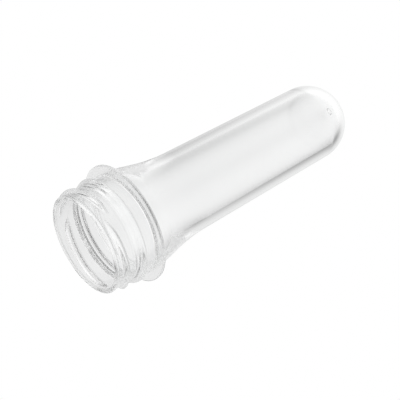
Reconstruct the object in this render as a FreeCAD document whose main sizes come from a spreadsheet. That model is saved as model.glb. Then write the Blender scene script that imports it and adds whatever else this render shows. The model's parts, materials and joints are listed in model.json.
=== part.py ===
import FreeCAD, Part
import math
import os
import Sketcher

# Injection moulded preform for a wide-necked bottle, standing on its open mouth.
# The mouth plane is Z = 0 and the closed round end points up, so the neck finish is at
# the bottom: sealing lip, three thread starts, tamper bead, then the support ring.
# Above the ring the outside runs in through a flare to the long, slightly tapered body.

doc = FreeCAD.newDocument("Preform")

# driving sizes, mm and degrees; heights are measured from the mouth plane
sizes = [
    ("lipRadius", 17.5, "outside of the sealing lip"),
    ("lipBand", 0.75, "height of the plain band at the lip"),
    ("lipOuterEdge", 0.4, "broken edge outside the sealing lip"),
    ("lipInnerEdge", 0.25, "broken edge inside the sealing lip"),
    ("neckRadius", 17.25, "outside of the neck between the threads"),
    ("boreRadius", 15.85, "inside of the neck"),
    ("beadFront", 7.4, "where the tamper bead leaves the neck"),
    ("beadMiddle", 10.55, "height of the bead's crest"),
    ("beadFoot", 11.8, "where the bead's steep back meets the neck"),
    ("beadRadius", 18.85, "crest of the bead"),
    ("beadCrest", 0.8, "width of the bead's crest"),
    ("beadEdge", 0.3, "broken edges of the bead's crest"),
    ("ringFront", 15.75, "neck side of the support ring"),
    ("ringThickness", 1.2, "thickness of the support ring"),
    ("ringRadius", 21.0, "outside of the support ring"),
    ("ringEdge", 0.3, "broken edges of the support ring"),
    ("ringRoot", 0.4, "thickening at both roots of the support ring"),
    ("shoulderRadius", 17.55, "outside straight after the ring"),
    ("flareStart", 19.6, "where the flare starts to turn in"),
    ("flareTurn", 2.3, "height from there to the corner that the turn in rounds"),
    ("flareRun", 7.3, "height of the corner that the run out rounds, below the body"),
    ("bodyStart", 42.0, "where the tapered body begins"),
    ("bodyTopRadius", 14.5, "body at its neck end"),
    ("bodyTipRadius", 13.75, "body where the round end begins"),
    ("length", 114.1, "mouth to the top of the round end"),
    ("wall", 2.9, "wall of the body"),
    ("tipWall", 2.6, "wall at the middle of the round end"),
    ("coreStart", 20.5, "where the inside's straight bore ends and its cone begins"),
    ("coreEnd", 34.0, "where the inside's cone meets its long taper"),
    ("gateRadius", 1.7, "foot of the gate stub"),
    ("gateTipRadius", 1.25, "end of the gate stub"),
    ("gateHeight", 1.1, "height of the gate stub"),
    ("gateRoot", 0.6, "depth of the stub's foot inside the round end"),
    ("threadStart", 2.35, "middle of the ridge where a thread starts"),
    ("threadLead", 7.4, "rise of a thread in one turn"),
    ("threadTurn", 128.0, "angle that each thread covers"),
    ("threadFade", 26.0, "angle over which each end dies into the neck"),
    ("threadHeight", 1.25, "height of the ridge above the neck"),
    ("threadCrest", 0.7, "width of the ridge's flat crest"),
    ("threadFoot", 3.1, "width of the ridge at its foot, which lies inside the neck wall"),
    ("threadEmbed", 0.5, "depth of that foot under the neck's surface"),
    ("threadBuried", 0.35, "how far the crest lies under the surface at a thread's two ends"),
    ("threadStep", 8.0, "angle between the points of a thread's path"),
    ("threadStarts", 3, "number of thread starts"),
]
sheet = doc.addObject("Spreadsheet::Sheet", "Sizes")
for row, (alias, value, note) in enumerate(sizes, start=1):
    sheet.set("A%d" % row, alias)
    sheet.set("B%d" % row, str(value))
    sheet.set("C%d" % row, note)
    sheet.setAlias("B%d" % row, alias)
doc.recompute()


def size(alias):
    return float(sheet.get(alias))


body = doc.addObject("PartDesign::Body", "Preform")
body.Label = "preform"


def plane(role):
    return [f for f in body.Origin.OriginFeatures if f.Role == role][0]


def newSketch(name, role="XZ_Plane"):
    sketch = body.newObject("Sketcher::SketchObject", name)
    sketch.AttachmentSupport = [(plane(role), "")]
    sketch.MapMode = "FlatFace"
    return sketch


def line(sketch, start, end):
    a = FreeCAD.Vector(start[0], start[1], 0)
    b = FreeCAD.Vector(end[0], end[1], 0)
    return sketch.addGeometry(Part.LineSegment(a, b), False)


def arc(sketch, start, middle, end):
    points = [FreeCAD.Vector(p[0], p[1], 0) for p in (start, middle, end)]
    return sketch.addGeometry(Part.Arc(*points), False)


def bindPoint(sketch, geo, pos, across=None, along=None):
    # across is measured from the axis, along from the mouth plane
    for kind, text in (("DistanceX", across), ("DistanceY", along)):
        if text is None:
            continue
        if text == "0":
            onAxis = -2 if kind == "DistanceX" else -1
            sketch.addConstraint(Sketcher.Constraint("PointOnObject", geo, pos, onAxis))
            continue
        found = sketch.getPoint(geo, pos)
        value = found.x if kind == "DistanceX" else found.y
        index = sketch.addConstraint(Sketcher.Constraint(kind, -1, 1, geo, pos, value))
        sketch.setExpression("Constraints[%d]" % index, text)


def join(sketch, first, firstPos, second, secondPos, kind="Coincident"):
    sketch.addConstraint(Sketcher.Constraint(kind, first, firstPos, second, secondPos))


def polyline(sketch, points, closed=False):
    # straight edges joined end to end
    edges = [line(sketch, a, b) for a, b in zip(points[:-1], points[1:])]
    if closed:
        edges.append(line(sketch, points[-1], points[0]))
    for before, after in zip(edges[:-1], edges[1:]):
        join(sketch, before, 2, after, 1)
    if closed:
        join(sketch, edges[-1], 2, edges[0], 1)
    return edges


def ends(sketch, geo, start):
    # which end of this edge lies nearest the given point: 1 first, 2 last
    first = sketch.getPoint(geo, 1)
    last = sketch.getPoint(geo, 2)
    near = FreeCAD.Vector(start[0], start[1], 0)
    return (1, 2) if first.distanceToPoint(near) < last.distanceToPoint(near) else (2, 1)


def chain(sketch, parts):
    # parts: (edge, the point it starts from); tangent one to the next
    for (geoA, startA), (geoB, startB) in zip(parts[:-1], parts[1:]):
        endA = ends(sketch, geoA, startA)[1]
        firstB = ends(sketch, geoB, startB)[0]
        join(sketch, geoA, endA, geoB, firstB, "Tangent")


def onCircle(centre, radius, angle):
    return (centre[0] + radius * math.cos(angle), centre[1] + radius * math.sin(angle))


def taperAngle(top, tipRadius, pole):
    # lean of the body's wall that makes it tangent to a ball end centred on the axis
    slope = 0.0
    for _ in range(20):
        ballRise = tipRadius * (math.sqrt(1 + slope * slope) - slope)
        slope = (top[0] - tipRadius) / (pole - top[1] - ballRise)
    return math.atan(slope)


def taperAndBall(sketch, top, tipRadius, pole):
    # body taper and the ball end tangent to it, from top to the pole on the axis
    lean = taperAngle(top, tipRadius, pole)
    ball = tipRadius / math.cos(lean)
    ballCentre = (0, pole - ball)
    tip = onCircle(ballCentre, ball, lean)
    taper = line(sketch, top, tip)
    roundEnd = arc(sketch, tip, onCircle(ballCentre, ball, (lean + math.pi / 2) / 2), (0, pole))
    chain(sketch, [(taper, top), (roundEnd, tip)])
    sketch.addConstraint(Sketcher.Constraint("PointOnObject", roundEnd, 3, -2))
    return taper, roundEnd, ends(sketch, roundEnd, tip)[1]


def flare(sketch, before, start, turnRise, taper, top, runRise, lean):
    # Turn in, straight cone and run out, tangent to each other, to the edge before them
    # and to the body taper after them. The cone lies on the line through two corners,
    # one above start and one on the taper's own line below top, which the arcs round.
    first = (start[0], start[1] + turnRise)
    second = (top[0] + runRise * math.tan(lean), top[1] - runRise)
    slope = math.atan2(first[0] - second[0], second[1] - first[1])
    turnRadius = turnRise / math.tan(slope / 2)
    runRadius = runRise / math.cos(lean) / math.tan((slope - lean) / 2)
    turnCentre = (start[0] - turnRadius, start[1])
    runCentre = onCircle(top, runRadius, lean)
    turnEnd = onCircle(turnCentre, turnRadius, slope)
    runStart = onCircle(runCentre, runRadius, math.pi + slope)
    runMiddle = onCircle(runCentre, runRadius, math.pi + (slope + lean) / 2)
    turn = arc(sketch, start, onCircle(turnCentre, turnRadius, slope / 2), turnEnd)
    cone = line(sketch, turnEnd, runStart)
    runOut = arc(sketch, runStart, runMiddle, top)
    chain(sketch, [before, (turn, start), (cone, turnEnd), (runOut, runStart), (taper, top)])
    corners = []
    for spot in (first, second):
        corner = sketch.addGeometry(Part.Point(FreeCAD.Vector(spot[0], spot[1], 0)), True)
        sketch.addConstraint(Sketcher.Constraint("PointOnObject", corner, 1, cone))
        corners.append(corner)
    sketch.addConstraint(Sketcher.Constraint("PointOnObject", corners[1], 1, taper))
    return corners


def ringEdgeName(shape, radius, height):
    # the circular edge of this radius at this height
    for number, edge in enumerate(shape.Edges, start=1):
        if not isinstance(edge.Curve, Part.Circle):
            continue
        if abs(edge.Curve.Radius - radius) > 0.01:
            continue
        if abs(edge.Curve.Center.z - height) < 0.01:
            return "Edge%d" % number
    raise RuntimeError("no edge of radius %g at height %g" % (radius, height))


def breakEdges(name, base, spots, width):
    # a chamfer on each circular edge, named by its radius and height
    doc.recompute()
    chamfer = body.newObject("PartDesign::Chamfer", name)
    chamfer.Base = (base, [ringEdgeName(base.Shape, r, z) for r, z in spots])
    chamfer.setExpression("Size", "Sizes.%s" % width)
    body.Tip = chamfer
    doc.recompute()
    return chamfer


def revolve(kind, name, sketch):
    feature = body.newObject("PartDesign::" + kind, name)
    feature.Profile = sketch
    feature.ReferenceAxis = (sketch, ["V_Axis"])
    feature.Angle = 360.0
    body.Tip = feature
    doc.recompute()
    return feature


# outside of the preform, as a half profile turned about the axis
lip = size("lipRadius")
neck = size("neckRadius")
bore = size("boreRadius")
bead = size("beadRadius")
halfCrest = size("beadCrest") / 2
ring = size("ringRadius")
ringBack = size("ringFront") + size("ringThickness")
shoulder = size("shoulderRadius")
bodyTop = (size("bodyTopRadius"), size("bodyStart"))
outer = newSketch("OuterProfile")
corners = [
    ((0, 0), "0", "0"),
    ((lip, 0), "Sizes.lipRadius", "0"),
    ((lip, size("lipBand")), "Sizes.lipRadius", "Sizes.lipBand"),
    ((neck, size("lipBand") + lip - neck), "Sizes.neckRadius",
     "Sizes.lipBand + Sizes.lipRadius - Sizes.neckRadius"),
    ((neck, size("beadFront")), "Sizes.neckRadius", "Sizes.beadFront"),
    ((bead, size("beadMiddle") - halfCrest), "Sizes.beadRadius",
     "Sizes.beadMiddle - Sizes.beadCrest / 2"),
    ((bead, size("beadMiddle") + halfCrest), "Sizes.beadRadius",
     "Sizes.beadMiddle + Sizes.beadCrest / 2"),
    ((neck, size("beadFoot")), "Sizes.neckRadius", "Sizes.beadFoot"),
    ((neck, size("ringFront")), "Sizes.neckRadius", "Sizes.ringFront"),
    ((ring, size("ringFront")), "Sizes.ringRadius", "Sizes.ringFront"),
    ((ring, ringBack), "Sizes.ringRadius", "Sizes.ringFront + Sizes.ringThickness"),
    ((shoulder, ringBack), "Sizes.shoulderRadius", "Sizes.ringFront + Sizes.ringThickness"),
    ((shoulder, size("flareStart")), "Sizes.shoulderRadius", "Sizes.flareStart"),
]
edges = polyline(outer, [corner[0] for corner in corners])
bindPoint(outer, edges[0], 1, "0", "0")
for geo, (spot, across, along) in zip(edges, corners[1:]):
    bindPoint(outer, geo, 2, across, along)
taper, roundEnd, poleEnd = taperAndBall(outer, bodyTop, size("bodyTipRadius"), size("length"))
turnCorner, runCorner = flare(
    outer, (edges[-1], corners[-2][0]), corners[-1][0], size("flareTurn"),
    taper, bodyTop, size("flareRun"),
    taperAngle(bodyTop, size("bodyTipRadius"), size("length")))
centreLine = line(outer, (0, size("length")), (0, 0))
join(outer, roundEnd, poleEnd, centreLine, 1)
join(outer, centreLine, 2, edges[0], 1)
bindPoint(outer, turnCorner, 1, "Sizes.shoulderRadius", "Sizes.flareStart + Sizes.flareTurn")
bindPoint(outer, runCorner, 1, None, "Sizes.bodyStart - Sizes.flareRun")
bindPoint(outer, taper, 1, "Sizes.bodyTopRadius", "Sizes.bodyStart")
bindPoint(outer, taper, 2, "Sizes.bodyTipRadius", None)
bindPoint(outer, centreLine, 1, "0", "Sizes.length")
doc.recompute()
blank = revolve("Revolution", "Blank", outer)

# gate stub, left where the plastic came in at the middle of the round end
gate = newSketch("GateProfile")
gateFoot = size("length") - size("gateRoot")
gateTop = size("length") + size("gateHeight")
gateFootText = "Sizes.length - Sizes.gateRoot"
gateTopText = "Sizes.length + Sizes.gateHeight"
gateEdges = polyline(gate, [
    (0, gateFoot),
    (size("gateRadius"), gateFoot),
    (size("gateTipRadius"), gateTop),
    (0, gateTop),
], closed=True)
bindPoint(gate, gateEdges[0], 1, "0", gateFootText)
bindPoint(gate, gateEdges[0], 2, "Sizes.gateRadius", gateFootText)
bindPoint(gate, gateEdges[1], 2, "Sizes.gateTipRadius", gateTopText)
bindPoint(gate, gateEdges[3], 1, "0", gateTopText)
doc.recompute()
stub = revolve("Revolution", "GateStub", gate)

# broken edges and thickened roots of the neck's rings
crestEdges = [(bead, size("beadMiddle") - halfCrest), (bead, size("beadMiddle") + halfCrest)]
last = breakEdges("BeadCrestEdges", stub, crestEdges, "beadEdge")
last = breakEdges("RingEdges", last, [(ring, size("ringFront")), (ring, ringBack)], "ringEdge")
last = breakEdges("RingRoots", last, [(neck, size("ringFront")), (shoulder, ringBack)], "ringRoot")

# Threads. Each ridge climbs right-handed from above +Y. Its path starts and ends sunk
# inside the neck wall and rises out over the fade angle, so both ends die into the neck.
sink = size("threadHeight") + size("threadBuried")
turnAngle = size("threadTurn")
fade = size("threadFade")
steps = math.ceil(turnAngle / size("threadStep"))
pathPoints = []
for step in range(steps + 1):
    angle = turnAngle * step / steps
    fromEnd = min(angle, turnAngle - angle, fade)
    rise = 0.5 - 0.5 * math.cos(math.pi * fromEnd / fade)
    radius = neck - sink * (1 - rise)
    turned = math.radians(90 + angle)
    height = size("threadStart") + size("threadLead") * angle / 360
    pathPoints.append(FreeCAD.Vector(radius * math.cos(turned), radius * math.sin(turned), height))
curve = Part.BSplineCurve()
curve.interpolate(pathPoints)
path = doc.addObject("Part::Feature", "ThreadPath")
path.Shape = curve.toShape()

ridge = newSketch("ThreadProfile", "YZ_Plane")
middle = size("threadStart")
halfFoot = size("threadFoot") / 2
halfTop = size("threadCrest") / 2
footAt = neck - sink - size("threadEmbed")
crestAt = neck - sink + size("threadHeight")
pathText = "Sizes.neckRadius - Sizes.threadHeight - Sizes.threadBuried"
footText = pathText + " - Sizes.threadEmbed"
crestText = pathText + " + Sizes.threadHeight"
ridgeCorners = [
    ((footAt, middle - halfFoot), footText, "Sizes.threadStart - Sizes.threadFoot / 2"),
    ((crestAt, middle - halfTop), crestText, "Sizes.threadStart - Sizes.threadCrest / 2"),
    ((crestAt, middle + halfTop), crestText, "Sizes.threadStart + Sizes.threadCrest / 2"),
    ((footAt, middle + halfFoot), footText, "Sizes.threadStart + Sizes.threadFoot / 2"),
]
ridgeEdges = polyline(ridge, [corner[0] for corner in ridgeCorners], closed=True)
for geo, (spot, across, along) in zip(ridgeEdges, ridgeCorners):
    bindPoint(ridge, geo, 1, across, along)
doc.recompute()

thread = body.newObject("PartDesign::AdditivePipe", "Thread")
thread.Profile = ridge
thread.Spine = (path, ["Edge1"])
thread.Mode = "Binormal"
thread.Binormal = FreeCAD.Vector(0, 1, 0)
body.Tip = thread
doc.recompute()
print("one thread adds %.1f mm3" % (thread.Shape.Volume - last.Shape.Volume))

starts = body.newObject("PartDesign::PolarPattern", "ThreadStarts")
starts.Originals = [thread]
starts.Axis = (outer, ["V_Axis"])
starts.Angle = 360.0
starts.setExpression("Occurrences", "Sizes.threadStarts")
body.Tip = starts
doc.recompute()
print("the other threads add %.1f mm3" % (starts.Shape.Volume - thread.Shape.Volume))

# inside, left by the core pin, which reaches out past the mouth by the width of the wall
core = newSketch("CoreProfile")
coreTop = (bodyTop[0] - size("wall"), size("coreEnd"))
coreTip = size("bodyTipRadius") - size("wall")
corePole = size("length") - size("tipWall")
coreFoot = -size("wall")
coreCorners = [
    ((0, coreFoot), "0", "-Sizes.wall"),
    ((bore, coreFoot), "Sizes.boreRadius", "-Sizes.wall"),
    ((bore, size("coreStart")), "Sizes.boreRadius", "Sizes.coreStart"),
    (coreTop, "Sizes.bodyTopRadius - Sizes.wall", "Sizes.coreEnd"),
]
coreEdges = polyline(core, [corner[0] for corner in coreCorners])
bindPoint(core, coreEdges[0], 1, "0", "-Sizes.wall")
for geo, (spot, across, along) in zip(coreEdges, coreCorners[1:]):
    bindPoint(core, geo, 2, across, along)
inTaper, inRound, inPole = taperAndBall(core, coreTop, coreTip, corePole)
coreAxis = line(core, (0, corePole), (0, coreFoot))
join(core, coreEdges[-1], 2, inTaper, 1)
join(core, inRound, inPole, coreAxis, 1)
join(core, coreAxis, 2, coreEdges[0], 1)
bindPoint(core, inTaper, 2, "Sizes.bodyTipRadius - Sizes.wall", None)
bindPoint(core, coreAxis, 1, "0", "Sizes.length - Sizes.tipWall")
doc.recompute()
cavity = revolve("Groove", "Cavity", core)
print("the cavity takes %.0f mm3" % (starts.Shape.Volume - cavity.Shape.Volume))

last = breakEdges("LipOutside", cavity, [(lip, 0)], "lipOuterEdge")
last = breakEdges("LipInside", last, [(bore, 0)], "lipInnerEdge")

# checks and hand over
doc.recompute()
for item in doc.Objects:
    bad = [word for word in item.State if word in ("Invalid", "Error")]
    if bad:
        raise RuntimeError("%s did not build: %s" % (item.Name, bad))
for sketch in (outer, gate, ridge, core):
    if sketch.solve() != 0 or not sketch.FullyConstrained:
        raise RuntimeError("%s is not fully constrained" % sketch.Name)
shape = body.Shape
if shape.isNull() or not shape.isValid() or len(shape.Solids) != 1:
    raise RuntimeError("the preform is not one valid solid")
print("one valid solid, volume %.0f mm3" % shape.Volume)
os.makedirs("parts", exist_ok=True)
shape.exportStep("parts/preform.step")
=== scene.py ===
import json
from math import acos, asin, atan, atan2, cos, hypot, pi, radians, sin, sqrt
import bpy
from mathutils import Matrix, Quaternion, Vector


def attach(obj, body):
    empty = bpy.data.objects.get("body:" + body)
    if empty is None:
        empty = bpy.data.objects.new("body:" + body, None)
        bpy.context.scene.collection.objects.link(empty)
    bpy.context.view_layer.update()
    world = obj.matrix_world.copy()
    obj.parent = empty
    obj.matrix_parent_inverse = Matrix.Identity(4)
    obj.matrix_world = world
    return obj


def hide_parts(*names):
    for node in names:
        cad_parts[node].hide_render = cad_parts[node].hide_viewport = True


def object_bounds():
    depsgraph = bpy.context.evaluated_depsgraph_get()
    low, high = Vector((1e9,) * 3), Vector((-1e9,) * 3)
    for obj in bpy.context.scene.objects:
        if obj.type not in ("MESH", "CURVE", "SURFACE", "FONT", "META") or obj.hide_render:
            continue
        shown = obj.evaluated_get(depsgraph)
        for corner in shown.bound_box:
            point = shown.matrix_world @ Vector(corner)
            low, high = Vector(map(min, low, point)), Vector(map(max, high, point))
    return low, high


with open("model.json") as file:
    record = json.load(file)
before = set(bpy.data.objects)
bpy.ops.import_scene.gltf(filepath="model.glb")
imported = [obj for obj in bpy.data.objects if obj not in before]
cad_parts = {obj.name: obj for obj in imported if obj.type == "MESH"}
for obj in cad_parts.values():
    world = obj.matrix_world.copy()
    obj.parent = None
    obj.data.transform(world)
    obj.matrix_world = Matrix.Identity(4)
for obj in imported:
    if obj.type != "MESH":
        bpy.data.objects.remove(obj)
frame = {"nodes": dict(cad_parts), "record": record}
cadLow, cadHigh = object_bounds()
print("frame loaded:", sorted(frame["nodes"]))

mm = 0.001  # sizes below are in millimetres
mounts = {mount["name"]: mount for mount in frame["record"]["mounts"]}
gateHeight = 1.1


# preform, one injection moulding, standing on its mouth
preform = {
    "lipRadius": 17.5,
    "lipBand": 0.75,      # height of the lip's straight edge
    "lipOuterRound": 0.5,
    "lipInnerRound": 0.3,
    "bandRound": 0.1,
    "stepRound": 0.15,
    "neckRadius": 17.25,
    "boreRadius": mounts["neck_bore"]["dims"]["r_mm"],
    "beadFront": 7.4,
    "beadMiddle": 10.55,
    "beadFoot": 11.8,
    "beadRadius": 18.85,
    "beadCrest": 0.75,
    "beadFootRound": 0.5,
    "ringFront": mounts["ring_neck_face"]["pos_m"][2] / mm,
    "ringBack": mounts["ring_transport_face"]["pos_m"][2] / mm,
    "ringRadius": cadHigh[0] / mm,
    "ringRound": 0.35,
    "ringRoot": 0.6,
    "shoulderRadius": 17.55,
    "flareStart": 19.6,
    "flareConvex": 20.0,
    "flareConcave": 68.0,
    "bodyStart": 42.0,
    "bodyTopRadius": 14.5,
    "bodyTipRadius": 13.75,
    "length": cadHigh[2] / mm - gateHeight,
    "wall": 2.9,
    "tipWall": 2.6,
    "coreStart": 18.2,
    "coreConvex": 16.0,
    "coreConcave": 55.0,
    "gateRadius": 1.7,
    "gateTipRadius": 1.25,
    "gateHeight": gateHeight,
    "gateRound": 0.3,
    "gateTipRound": 0.15,
    "gateRoom": 0.8,      # round the stub's foot, left to its fillet
}

# three-start thread on the neck
thread = {
    "starts": 3,
    "first": 90.0,        # degrees round from +X
    "start": 2.35,
    "lead": 7.4,
    "turn": 128.0,
    "fade": 26.0,
    "height": 1.25,
    "foot": 3.1,
    "embed": 0.5,
    "round": 0.6,
    "buried": 0.35,
    "blend": 0.3,         # soft corner where the ridge meets the neck
    "clear": 0.3,         # plain neck between the lip and the first ridge
}

# mesh rows: their spacing on each straight run, and the steps of each arc
rows = {
    "segments": 240,      # round the axis
    "lip": 0.15,
    "thread": 0.13,
    "beadFront": 0.35,
    "beadBack": 0.2,
    "ring": 0.45,
    "shoulder": 0.4,
    "cone": 0.8,
    "body": 2.0,
    "stubFoot": 0.4,
    "stubSide": 0.2,
    "stubTop": 0.3,
    "edgeSteps": 2,
    "footSteps": 4,
    "backSteps": 5,
    "boreSteps": 6,
    "roundSteps": 7,
    "turnSteps": 10,
    "crestSteps": 12,
    "runOutSteps": 18,
    "innerDomeSteps": 36,
    "domeSteps": 40,
}


def arcPoints(centre, radius, first, last, steps):
    # points of an arc, both ends included, angles in radians from outward
    spots = []
    for step in range(steps + 1):
        angle = first + (last - first) * step / steps
        spots.append((centre[0] + radius * cos(angle), centre[1] + radius * sin(angle)))
    return spots


def roundCorner(before, corner, after, radius, steps):
    # an arc tangent to both sides of a corner
    ax, az = before[0] - corner[0], before[1] - corner[1]
    bx, bz = after[0] - corner[0], after[1] - corner[1]
    la, lb = hypot(ax, az), hypot(bx, bz)
    ax, az, bx, bz = ax / la, az / la, bx / lb, bz / lb
    half = acos(max(-1.0, min(1.0, ax * bx + az * bz))) / 2
    mx, mz = ax + bx, az + bz
    lm = hypot(mx, mz)
    reach = radius / sin(half)
    centre = (corner[0] + mx / lm * reach, corner[1] + mz / lm * reach)
    run = reach * cos(half)
    start = (corner[0] + ax * run, corner[1] + az * run)
    end = (corner[0] + bx * run, corner[1] + bz * run)
    first = atan2(start[1] - centre[1], start[0] - centre[0])
    last = atan2(end[1] - centre[1], end[0] - centre[0])
    while last - first > pi:
        last -= 2 * pi
    while last - first < -pi:
        last += 2 * pi
    return arcPoints(centre, radius, first, last, steps)


def straight(start, end, spacing):
    # points between two ends, the ends left out
    count = max(1, round(hypot(end[0] - start[0], end[1] - start[1]) / spacing))
    return [(start[0] + (end[0] - start[0]) * n / count, start[1] + (end[1] - start[1]) * n / count)
            for n in range(1, count)]


def runTo(spots, stretch, spacing):
    # a straight run to the next stretch of the outline, then that stretch
    spots += straight(spots[-1], stretch[0], spacing) + stretch


def tangentFrom(point, centre, radius, side):
    # where the tangent from a point touches a circle
    dx, dz = centre[0] - point[0], centre[1] - point[1]
    far = hypot(dx, dz)
    along = sqrt(far * far - radius * radius)
    angle = atan2(dz, dx) + side * asin(radius / far)
    return (point[0] + along * cos(angle), point[1] + along * sin(angle))


def flare(startRadius, startHeight, turnRadius, top, taperAngle, runRadius):
    # turn in, straight cone, run out into the taper, each tangent to the next
    turnCentre = (startRadius - turnRadius, startHeight)
    runCentre = (top[0] + runRadius * cos(taperAngle), top[1] + runRadius * sin(taperAngle))
    dx, dz = runCentre[0] - turnCentre[0], runCentre[1] - turnCentre[1]
    normal = atan2(dz, dx) - acos((turnRadius + runRadius) / hypot(dx, dz))
    spots = arcPoints(turnCentre, turnRadius, 0.0, normal, rows["turnSteps"])
    runOut = arcPoints(runCentre, runRadius, pi + normal, pi + taperAngle, rows["runOutSteps"])
    runTo(spots, runOut, rows["cone"])
    return spots


def roundEnd(top, tipRadius, poleHeight):
    # ball end tangent to the taper: its centre's height, its radius and the taper's lean
    slope = 0.0
    for _ in range(20):
        rise = tipRadius * (sqrt(1 + slope * slope) - slope)
        slope = (top[0] - tipRadius) / (poleHeight - top[1] - rise)
    lean = atan(slope)
    radius = tipRadius / cos(lean)
    return poleHeight - radius, radius, lean


def lipOutline(p):
    # rounded edge of the mouth, short straight band, step down to the neck
    mouth, band = (p["lipRadius"], 0), (p["lipRadius"], p["lipBand"])
    stepEnd = (p["neckRadius"], p["lipBand"] + p["lipRadius"] - p["neckRadius"])
    spots = roundCorner((p["boreRadius"], 0), mouth, band, p["lipOuterRound"], rows["roundSteps"])
    spots += straight(spots[-1], band, rows["lip"])
    spots += roundCorner(mouth, band, stepEnd, p["bandRound"], rows["edgeSteps"])
    front = (p["neckRadius"], p["beadFront"])
    spots += roundCorner(band, stepEnd, front, p["stepRound"], rows["edgeSteps"])
    return spots


def beadOutline(spots, p):
    # long front slope, rounded crest, steep back
    neck = p["neckRadius"]
    crest = (p["beadRadius"] - p["beadCrest"], p["beadMiddle"])
    front, back = (neck, p["beadFront"]), (neck, p["beadFoot"])
    slopeTop = tangentFrom(front, crest, p["beadCrest"], -1)
    backTop = tangentFrom(back, crest, p["beadCrest"], 1)
    below, above = (neck, p["lipBand"]), (neck, p["ringFront"])
    frontFoot = roundCorner(below, front, slopeTop, p["beadFootRound"], rows["footSteps"])
    first = atan2(slopeTop[1] - crest[1], slopeTop[0] - crest[0])
    last = atan2(backTop[1] - crest[1], backTop[0] - crest[0])
    backFoot = roundCorner(backTop, back, above, p["beadFootRound"], rows["backSteps"])
    runTo(spots, frontFoot, rows["thread"])
    runTo(spots, arcPoints(crest, p["beadCrest"], first, last, rows["crestSteps"]), rows["beadFront"])
    runTo(spots, backFoot, rows["beadBack"])


def ringOutline(spots, p):
    # support ring, with rounded edges and thickened roots
    neck, ring, shoulder = p["neckRadius"], p["ringRadius"], p["shoulderRadius"]
    front, back = p["ringFront"], p["ringBack"]
    ways = [(neck, p["beadFoot"]), (neck, front), (ring, front), (ring, back), (shoulder, back),
            (shoulder, p["flareStart"])]
    rounds = [p["ringRoot"], p["ringRound"], p["ringRound"], p["ringRoot"]]
    for number, radius in enumerate(rounds):
        before, corner, after = ways[number:number + 3]
        runTo(spots, roundCorner(before, corner, after, radius, rows["roundSteps"]), rows["ring"])


def bodyOutline(spots, p):
    # flare, tapered body and round end, up to the stub's foot
    top = (p["bodyTopRadius"], p["bodyStart"])
    endCentre, endRadius, lean = roundEnd(top, p["bodyTipRadius"], p["length"])
    bend = flare(p["shoulderRadius"], p["flareStart"], p["flareConvex"], top, lean, p["flareConcave"])
    runTo(spots, bend, rows["shoulder"])
    dome = arcPoints((0, endCentre), endRadius, lean, pi / 2, rows["domeSteps"])
    runTo(spots, [spot for spot in dome if spot[0] > p["gateRadius"] + p["gateRoom"]], rows["body"])
    return endCentre + sqrt(endRadius ** 2 - p["gateRadius"] ** 2)


def stubOutline(spots, footHeight, p):
    # gate stub on the middle of the round end
    tipHeight = p["length"] + p["gateHeight"]
    foot, tip, pole = (p["gateRadius"], footHeight), (p["gateTipRadius"], tipHeight), (0, tipHeight)
    stubFoot = roundCorner(spots[-1], foot, tip, p["gateRound"], rows["footSteps"])
    runTo(spots, stubFoot, rows["stubFoot"])
    runTo(spots, roundCorner(foot, tip, pole, p["gateTipRound"], rows["footSteps"]), rows["stubSide"])
    spots += straight(spots[-1], pole, rows["stubTop"])
    return pole


def outsideProfile(p):
    spots = lipOutline(p)
    beadOutline(spots, p)
    ringOutline(spots, p)
    footHeight = bodyOutline(spots, p)
    pole = stubOutline(spots, footHeight, p)
    return spots, pole


def insideProfile(p):
    # bore, smooth flare, taper and round end
    bore = p["boreRadius"]
    top = (p["bodyTopRadius"] - p["wall"], p["bodyStart"])
    pole = p["length"] - p["tipWall"]
    endCentre, endRadius, lean = roundEnd(top, p["bodyTipRadius"] - p["wall"], pole)
    edge, boreEnd = (bore, 0), (bore, p["coreStart"])
    spots = roundCorner((p["lipRadius"], 0), edge, boreEnd, p["lipInnerRound"], rows["boreSteps"])
    bend = flare(bore, p["coreStart"], p["coreConvex"], top, lean, p["coreConcave"])
    runTo(spots, bend, rows["cone"])
    dome = arcPoints((0, endCentre), endRadius, lean, pi / 2, rows["innerDomeSteps"])
    runTo(spots, dome[:-1], rows["body"])
    return spots, (0, pole)


def ridgeReach(across, t):
    # how far the ridge stands out of its path at this distance along the axis
    foot, crest = t["foot"] / 2, t["height"] - t["round"]
    dx = crest + t["embed"]
    lean = atan2(foot, dx) - asin(t["round"] / hypot(dx, foot))
    if across > t["round"] * cos(lean):
        return -t["embed"] + (foot - across) * cos(lean) / sin(lean)
    return crest + sqrt(t["round"] ** 2 - across ** 2)


def threadRadius(height, azimuth, neck, t):
    # outside radius of the neck with its ridges, at one height and azimuth in degrees
    sink = t["height"] + t["buried"]
    best = neck
    for number in range(t["starts"]):
        angle = (azimuth - t["first"] - 360.0 * number / t["starts"]) % 360.0
        across = abs(height - t["start"] - t["lead"] * angle / 360.0)
        if angle > t["turn"] or across > t["foot"] / 2:
            continue
        edge = min(angle, t["turn"] - angle, t["fade"])
        rise = 0.5 - 0.5 * cos(pi * edge / t["fade"])
        reach = neck - sink * (1 - rise) + ridgeReach(across, t)
        near = max(t["blend"] - abs(reach - best), 0.0) / t["blend"]
        best = max(reach, best) + near * near * t["blend"] / 4
    return best


def skinPoints(outline, threaded, p, t):
    # one ring of points for each spot of the outline, with the ridges on the threaded neck
    points = []
    for radius, height in outline:
        onNeck = threaded and p["lipBand"] + t["clear"] < height < p["beadFoot"]
        for step in range(rows["segments"]):
            angle = 2 * pi * step / rows["segments"]
            reach = radius
            if onNeck:
                reach = max(radius, threadRadius(height, 360.0 * step / rows["segments"], p["neckRadius"], t))
            points.append((reach * cos(angle) * mm, reach * sin(angle) * mm, height * mm))
    return points


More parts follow.
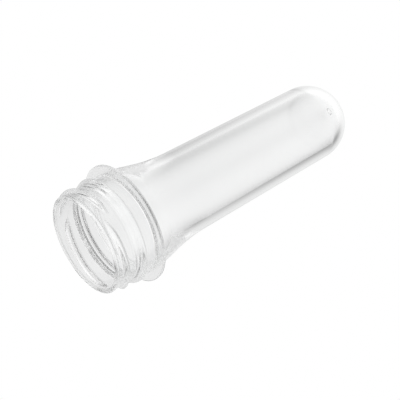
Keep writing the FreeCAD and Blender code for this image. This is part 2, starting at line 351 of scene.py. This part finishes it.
def latheMesh(name, outside, outsidePole, inside, insidePole, p, t):
    count = rows["segments"]
    verts = skinPoints(outside, True, p, t) + skinPoints(inside, False, p, t)
    faces = []
    second = len(outside) * count
    for first, rowCount, flip in ((0, len(outside), False), (second, len(inside), True)):
        for row in range(rowCount - 1):
            for step in range(count):
                a = first + row * count + step
                b = first + row * count + (step + 1) % count
                quad = (a, b, b + count, a + count)
                faces.append(quad[::-1] if flip else quad)
    # the lip face joins the two first rows
    for step in range(count):
        after = (step + 1) % count
        faces.append((step, second + step, second + after, after))
    # closed poles
    for pole, base, flip in ((outsidePole, (len(outside) - 1) * count, False),
                             (insidePole, second + (len(inside) - 1) * count, True)):
        verts.append((0, 0, pole[1] * mm))
        top = len(verts) - 1
        for step in range(count):
            fan = (base + step, base + (step + 1) % count, top)
            faces.append(fan[::-1] if flip else fan)
    mesh = bpy.data.meshes.new(name)
    mesh.from_pydata(verts, [], faces)
    mesh.validate()
    mesh.polygons.foreach_set("use_smooth", [True] * len(mesh.polygons))
    mesh.update()
    obj = bpy.data.objects.new(name, mesh)
    bpy.context.scene.collection.objects.link(obj)
    print(name, len(verts), "points,", len(faces), "faces")
    return obj


# clear PET
pet = {
    "colour": (0.992, 0.994, 0.993, 1),
    "hazeColour": (0.982, 0.985, 0.985, 1),
    "ior": 1.575,
    "roughLow": 0.0,
    "roughHigh": 0.03,
    "cloudScale": 60.0,   # faint uneven haze, in clouds about 15 mm wide
    "cloudDetail": 3.0,
}


def clearPet():
    material = bpy.data.materials.new("clearPet")
    material.use_nodes = True
    nodes, links = material.node_tree.nodes, material.node_tree.links
    shader = nodes["Principled BSDF"]
    shader.inputs["IOR"].default_value = pet["ior"]
    shader.inputs["Transmission Weight"].default_value = 1.0
    place = nodes.new("ShaderNodeTexCoord")
    cloud = nodes.new("ShaderNodeTexNoise")
    cloud.inputs["Scale"].default_value = pet["cloudScale"]
    cloud.inputs["Detail"].default_value = pet["cloudDetail"]
    links.new(place.outputs["Object"], cloud.inputs["Vector"])
    tint = nodes.new("ShaderNodeMix")
    tint.data_type = "RGBA"
    tint.inputs["A"].default_value = pet["colour"]
    tint.inputs["B"].default_value = pet["hazeColour"]
    links.new(cloud.outputs["Fac"], tint.inputs["Factor"])
    links.new(tint.outputs["Result"], shader.inputs["Base Color"])
    gloss = nodes.new("ShaderNodeMapRange")
    gloss.inputs["To Min"].default_value = pet["roughLow"]
    gloss.inputs["To Max"].default_value = pet["roughHigh"]
    links.new(cloud.outputs["Fac"], gloss.inputs["Value"])
    links.new(gloss.outputs["Result"], shader.inputs["Roughness"])
    return material


outside, outsidePole = outsideProfile(preform)
inside, insidePole = insideProfile(preform)
moulding = latheMesh("preform_moulding", outside, outsidePole, inside, insidePole, preform, thread)
moulding.data.materials.append(clearPet())
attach(moulding, "root")
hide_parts("preform")
print("moulding made")


# studio
studio = {
    "floorSize": 3.0,
    "floorColour": (0.9, 0.9, 0.9, 1),
    "floorRough": 0.9,
    "floorDrop": 0.0003,  # just under the lip, so that the two faces never share a plane
}


sky = {
    "level": 0.97,
    "towards": (0.057, 0.130, 0.083),     # the bright side
    # soft dark cards: where each one hangs (degrees round, degrees up), how tight, how dark
    "cards": [
        (-22, 8, 16.0, -0.95),
        (-48, 28, 40.0, -0.35),
        (-136, 44, 20.0, -0.60),
        (-85, -20, 6.0, -0.36),
        (107, 38, 14.0, -0.25),
    ],
}


def paleFloor():
    # one-sided: seen from below it lets the view through
    mesh = bpy.data.meshes.new("floor")
    half = studio["floorSize"] / 2
    corners = [(-half, -half, 0), (half, -half, 0), (half, half, 0), (-half, half, 0)]
    mesh.from_pydata(corners, [], [(0, 1, 2, 3)])
    floor = bpy.data.objects.new("floor", mesh)
    bpy.context.scene.collection.objects.link(floor)
    floor.location.z = -studio["floorDrop"]
    material = bpy.data.materials.new("paleFloor")
    material.use_nodes = True
    nodes, links = material.node_tree.nodes, material.node_tree.links
    shader = nodes["Principled BSDF"]
    shader.inputs["Base Color"].default_value = studio["floorColour"]
    shader.inputs["Roughness"].default_value = studio["floorRough"]
    facing = nodes.new("ShaderNodeNewGeometry")
    through = nodes.new("ShaderNodeBsdfTransparent")
    pick = nodes.new("ShaderNodeMixShader")
    links.new(facing.outputs["Backfacing"], pick.inputs["Fac"])
    links.new(shader.outputs["BSDF"], pick.inputs[1])
    links.new(through.outputs["BSDF"], pick.inputs[2])
    links.new(pick.outputs["Shader"], nodes["Material Output"].inputs["Surface"])
    mesh.materials.append(material)


def softSky():
    # white to the camera; what the plastic bends and mirrors is a soft room, brighter on one side
    world = bpy.data.worlds.new("studioSky")
    bpy.context.scene.world = world
    world.use_nodes = True
    nodes, links = world.node_tree.nodes, world.node_tree.links
    room = nodes["Background"]
    way = nodes.new("ShaderNodeTexCoord")
    slope = nodes.new("ShaderNodeVectorMath")
    slope.operation = "DOT_PRODUCT"
    slope.inputs[1].default_value = sky["towards"]
    links.new(way.outputs["Generated"], slope.inputs[0])
    level = nodes.new("ShaderNodeMath")
    level.operation = "ADD"
    level.inputs[1].default_value = sky["level"]
    links.new(slope.outputs["Value"], level.inputs[0])
    total = level.outputs["Value"]
    for turn, up, tightness, depth in sky["cards"]:
        facing = nodes.new("ShaderNodeVectorMath")
        facing.operation = "DOT_PRODUCT"
        turn, up = radians(turn), radians(up)
        facing.inputs[1].default_value = (cos(up) * cos(turn), cos(up) * sin(turn), sin(up))
        links.new(way.outputs["Generated"], facing.inputs[0])
        spread = nodes.new("ShaderNodeMath")
        spread.operation = "MULTIPLY_ADD"
        spread.inputs[1].default_value = tightness
        spread.inputs[2].default_value = -tightness
        links.new(facing.outputs["Value"], spread.inputs[0])
        bell = nodes.new("ShaderNodeMath")
        bell.operation = "EXPONENT"
        links.new(spread.outputs["Value"], bell.inputs[0])
        darker = nodes.new("ShaderNodeMath")
        darker.operation = "MULTIPLY_ADD"
        darker.inputs[1].default_value = depth
        links.new(bell.outputs["Value"], darker.inputs[0])
        links.new(total, darker.inputs[2])
        total = darker.outputs["Value"]
    grey = nodes.new("ShaderNodeCombineColor")
    for channel in ("Red", "Green", "Blue"):
        links.new(total, grey.inputs[channel])
    links.new(grey.outputs["Color"], room.inputs["Color"])
    white = nodes.new("ShaderNodeBackground")
    path = nodes.new("ShaderNodeLightPath")
    pick = nodes.new("ShaderNodeMixShader")
    links.new(path.outputs["Is Camera Ray"], pick.inputs["Fac"])
    links.new(room.outputs["Background"], pick.inputs[1])
    links.new(white.outputs["Background"], pick.inputs[2])
    white.inputs["Color"].default_value = (1, 1, 1, 1)
    links.new(pick.outputs["Shader"], nodes["World Output"].inputs["Surface"])


paleFloor()
softSky()


# camera
view = {
    "place": (-0.111484, 0.336130, -0.158040),
    "aim": (-0.005061, -0.001595, 0.045725),
    "roll": 60.909,       # degrees
    "lens": 108.0,
    "sensor": 36.0,
    "nearest": 0.01,
}


def makeCamera():
    data = bpy.data.cameras.new("camera")
    data.lens = view["lens"]
    data.sensor_width = view["sensor"]
    data.clip_start = view["nearest"]
    camera = bpy.data.objects.new("camera", data)
    bpy.context.scene.collection.objects.link(camera)
    camera.location = view["place"]
    look = (Vector(view["aim"]) - Vector(view["place"])).to_track_quat("-Z", "Y")
    camera.rotation_mode = "QUATERNION"
    camera.rotation_quaternion = look @ Quaternion((0, 0, 1), radians(view["roll"]))
    bpy.context.scene.camera = camera


makeCamera()
bpy.context.scene.view_settings.view_transform = "Standard"

# light goes up and down inside the clear wall many times before it leaves
wallBounces = 256
floorBounces = 16
cycles = bpy.context.scene.cycles
cycles.max_bounces = wallBounces
cycles.glossy_bounces = wallBounces
cycles.transmission_bounces = wallBounces
cycles.transparent_max_bounces = floorBounces
print("studio and camera made")
